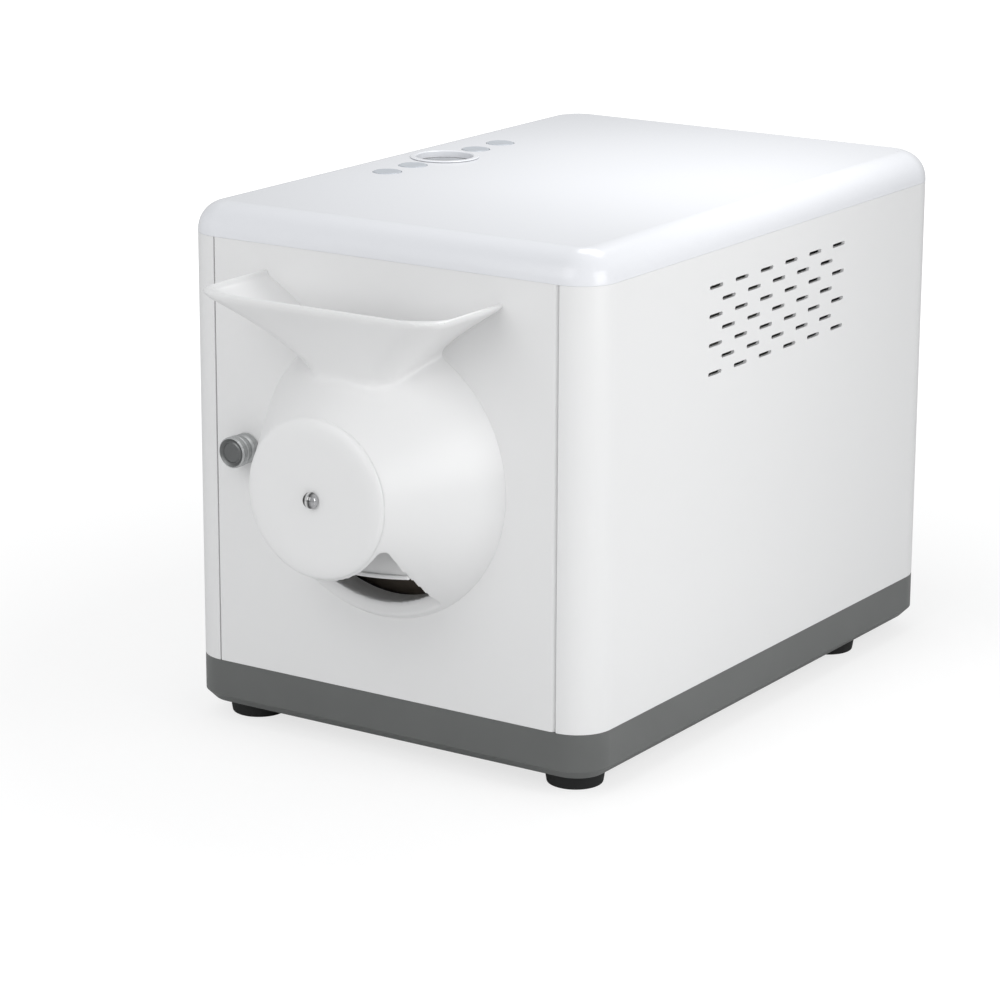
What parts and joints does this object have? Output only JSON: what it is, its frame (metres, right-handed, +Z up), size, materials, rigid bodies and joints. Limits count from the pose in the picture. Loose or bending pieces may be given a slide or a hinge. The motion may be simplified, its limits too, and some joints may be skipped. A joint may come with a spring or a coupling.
{
  "type": "home coffee bean roaster",
  "caption": "Box-shaped countertop bean roaster: a wide loading hopper and conical spout cast on a hinged front door, a turning drum inside, vented sides and top buttons.",
  "frame": {"origin": "middle of the bounding box's underside, on the table under the feet", "axes": "+Z up; the door, hopper and spout face -Y and the mains inlet faces +Y; +X is the viewer's right when facing the door"},
  "size_m": [0.26, 0.4496, 0.2899],
  "materials": {
    "white_paint": "fine white powder coat",
    "white_cast": "fine white powder coat on a casting",
    "white_top": "smooth white",
    "grey_base": "matt grey",
    "black_rubber": "matt black",
    "knob_metal": "turned and darkened",
    "chrome": "polished",
    "button_grey": "satin",
    "dark_glass": "smoked",
    "steel": "bare sheet",
    "dark_steel": "heat darkened",
    "fibre": "pressed fibre",
    "silicone": "matt red-brown silicone",
    "brass": "sintered",
    "gear_plastic": "natural",
    "motor_grey": "plated",
    "board_green": "lacquered",
    "black_plastic": "fine textured",
    "heater_glass": "quartz"
  },
  "bodies": {
    "frame": {"base_tray": "grey_base", "foot_front_left": "black_rubber", "foot_front_right": "black_rubber", "foot_rear_left": "black_rubber", "foot_rear_right": "black_rubber", "chassis_plate": "steel", "left_side_casing": "white_paint", "right_side_casing": "white_paint", "top_cover": "white_top", "rear_panel": "white_paint", "rear_screw_low_left": "steel", "rear_screw_low_right": "steel", "rear_screw_high_left": "steel", "rear_screw_high_right": "steel", "front_bulkhead": "steel", "rear_bulkhead": "steel", "front_bushing": "brass", "chamber_shell": "dark_steel", "insulation_jacket": "fibre", "shaft_bearing_front": "brass", "shaft_bearing_rear": "brass", "motor_bracket": "steel", "gear_motor": "motor_grey", "heater_left": "heater_glass", "heater_right": "heater_glass", "temperature_probe": "steel", "thermal_cutout": "black_plastic", "exhaust_duct": "steel", "fan_housing": "black_plastic", "fan_motor": "motor_grey", "power_board": "board_green", "power_inlet": "black_plastic", "switch_frame": "black_plastic", "display_bezel": "white_top", "display_lens": "dark_glass", "control_board": "board_green", "hinge_pin_lower": "steel", "hinge_pin_upper": "steel"},
    "door": {"front_door": "white_paint", "door_gasket": "silicone", "hopper_casting": "white_cast", "front_cap": "white_cast", "cap_nut": "chrome", "spout_baffle": "white_cast", "feed_chute": "steel"},
    "latch": {"latch_knob": "knob_metal", "latch_bar": "steel"},
    "drum": {"drum_shell": "dark_steel", "drum_vanes": "steel", "drum_rear_plate": "steel", "drum_shaft": "steel", "drum_gear": "gear_plastic"},
    "pinion": {"motor_pinion": "brass"},
    "fan": {"fan_rotor": "black_plastic"},
    "button_front": {"button_a": "button_grey"},
    "button_front_second": {"button_b": "button_grey"},
    "button_rear_second": {"button_c": "button_grey"},
    "button_rear": {"button_d": "button_grey"},
    "rocker": {"switch_key": "black_plastic"}
  },
  "joints": [
    {"name": "front_door", "type": "hinge", "parent": "frame", "child": "door", "pos_m": [0.1055, -0.1553, 0.1575], "axis": [0, 0, 1], "range_deg": [0, 95]},
    {"name": "door_latch", "type": "hinge", "parent": "door", "child": "latch", "pos_m": [-0.0885, -0.1583, 0.159], "axis": [0, 1, 0], "range_deg": [0, 90]},
    {"name": "drum_spin", "type": "hinge", "parent": "frame", "child": "drum", "pos_m": [0, -0.1338, 0.1575], "axis": [0, 1, 0], "continuous": true},
    {"name": "pinion_spin", "type": "hinge", "parent": "frame", "child": "pinion", "pos_m": [-0.03659, 0.0837, 0.12091], "axis": [0, 1, 0], "continuous": true},
    {"name": "fan_spin", "type": "hinge", "parent": "frame", "child": "fan", "pos_m": [0, 0.1417, 0.2265], "axis": [0, 1, 0], "continuous": true},
    {"name": "button_front_press", "type": "slide", "parent": "frame", "child": "button_front", "axis": [0, 0, -1], "range_m": [0, 0.0008], "stiffness_N_per_m": 400},
    {"name": "button_front_second_press", "type": "slide", "parent": "frame", "child": "button_front_second", "axis": [0, 0, -1], "range_m": [0, 0.0008], "stiffness_N_per_m": 400},
    {"name": "button_rear_second_press", "type": "slide", "parent": "frame", "child": "button_rear_second", "axis": [0, 0, -1], "range_m": [0, 0.0008], "stiffness_N_per_m": 400},
    {"name": "button_rear_press", "type": "slide", "parent": "frame", "child": "button_rear", "axis": [0, 0, -1], "range_m": [0, 0.0008], "stiffness_N_per_m": 400},
    {"name": "main_switch", "type": "hinge", "parent": "frame", "child": "rocker", "pos_m": [0.022, 0.2173, 0.066], "axis": [1, 0, 0], "range_deg": [0, 14]}
  ],
  "couplings": [
    {"joint": "pinion_spin", "follows": "drum_spin", "ratio": -3.6}
  ]
}
